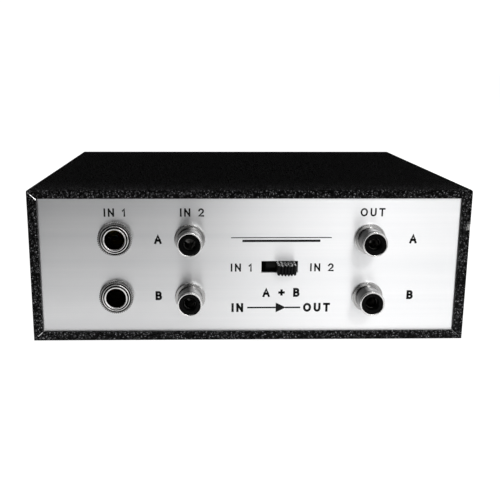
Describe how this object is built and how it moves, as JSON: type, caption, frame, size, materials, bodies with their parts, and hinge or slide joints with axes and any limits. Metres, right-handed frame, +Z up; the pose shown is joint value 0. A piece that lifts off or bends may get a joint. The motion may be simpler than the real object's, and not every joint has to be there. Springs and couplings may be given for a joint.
{
  "type": "phono preamp",
  "caption": "Stereo preamplifier in a low folded steel case, with jacks and an input slide switch on its brushed front panel.",
  "frame": {"origin": "middle of the overall box, on the surface that the feet stand on", "axes": "+X to the right seen from the front, +Y to the rear, +Z up; the panel faces -Y"},
  "size_m": [0.146, 0.123, 0.054],
  "materials": {
    "black_insulator": "moulded black",
    "bright_nickel": "nickel plated brass, bright",
    "brushed_panel": "brushed along its length, clear",
    "component_black": "moulded black",
    "component_blue": "plastic sleeve",
    "component_brown": "dipped",
    "component_tan": "lacquered",
    "core_iron": "varnished laminations",
    "laminate": "paper laminate board",
    "lead_insulation": "insulated hook-up wire",
    "painted_rear": "black paint",
    "phenolic": "brown laminate",
    "plated_steel": "zinc plated",
    "rubber": "moulded rubber",
    "spring_metal": "spring brass, tinned",
    "switch_plastic": "moulded black, slightly satin",
    "vinyl_steel": "black vinyl-grained coating on steel",
    "winding_tape": "varnished tape over copper"
  },
  "bodies": {
    "case": {"board_screws": "plated_steel", "board_standoffs": "plated_steel", "bottom_cover": "vinyl_steel", "chassis": "plated_steel", "circuit_board": "laminate", "cord_grommet": "rubber", "electrolytic_capacitors": "component_blue", "film_capacitors": "component_brown", "filter_capacitor": "component_blue", "foot_screws": "plated_steel", "front_panel": "brushed_panel", "ground_screw": "plated_steel", "ground_washer": "plated_steel", "mains_tag_strip": "phenolic", "mains_tags": "spring_metal", "mic_jack_l_bushing": "bright_nickel", "mic_jack_l_frame": "plated_steel", "mic_jack_l_nut": "bright_nickel", "mic_jack_lugs": "spring_metal", "mic_jack_r_bushing": "bright_nickel", "mic_jack_r_frame": "plated_steel", "mic_jack_r_nut": "bright_nickel", "mic_jack_rivets": "plated_steel", "mic_jack_stacks": "phenolic", "output_jack_l_contact": "bright_nickel", "output_jack_l_insulator": "black_insulator", "output_jack_l_shell": "bright_nickel", "output_jack_r_contact": "bright_nickel", "output_jack_r_insulator": "black_insulator", "output_jack_r_shell": "bright_nickel", "phono_jack_l_contact": "bright_nickel", "phono_jack_l_insulator": "black_insulator", "phono_jack_l_shell": "bright_nickel", "phono_jack_r_contact": "bright_nickel", "phono_jack_r_insulator": "black_insulator", "phono_jack_r_shell": "bright_nickel", "pin_jack_lugs": "spring_metal", "pin_jack_nuts": "bright_nickel", "rear_panel": "painted_rear", "rear_panel_screws": "plated_steel", "rectifier_diodes": "component_black", "resistors": "component_tan", "rubber_feet": "rubber", "signal_leads": "lead_insulation", "slide_switch_base": "phenolic", "slide_switch_frame": "plated_steel", "slide_switch_rivets": "plated_steel", "slide_switch_terminals": "spring_metal", "top_cover": "vinyl_steel", "transformer_clamp": "plated_steel", "transformer_core": "core_iron", "transformer_leads": "lead_insulation", "transformer_screws": "plated_steel", "transformer_winding": "winding_tape", "transistors": "component_black"},
    "switch_slider": {"slide_switch_knob": "switch_plastic", "slide_switch_contacts": "spring_metal"},
    "mic_spring_l": {"mic_jack_l_tip_spring": "spring_metal"},
    "mic_spring_r": {"mic_jack_r_tip_spring": "spring_metal"}
  },
  "joints": [
    {"name": "input_selector", "type": "slide", "parent": "case", "child": "switch_slider", "axis": [1, 0, 0], "range_m": [-0.004, 0]},
    {"name": "mic_contact_l", "type": "hinge", "parent": "case", "child": "mic_spring_l", "pos_m": [-0.0513, -0.0372, 0.0378], "axis": [0, 0, 1], "range_deg": [0, 8], "stiffness_Nm_per_rad": 0.01},
    {"name": "mic_contact_r", "type": "hinge", "parent": "case", "child": "mic_spring_r", "pos_m": [-0.0513, -0.0372, 0.0179], "axis": [0, 0, 1], "range_deg": [0, 8], "stiffness_Nm_per_rad": 0.01}
  ]
}
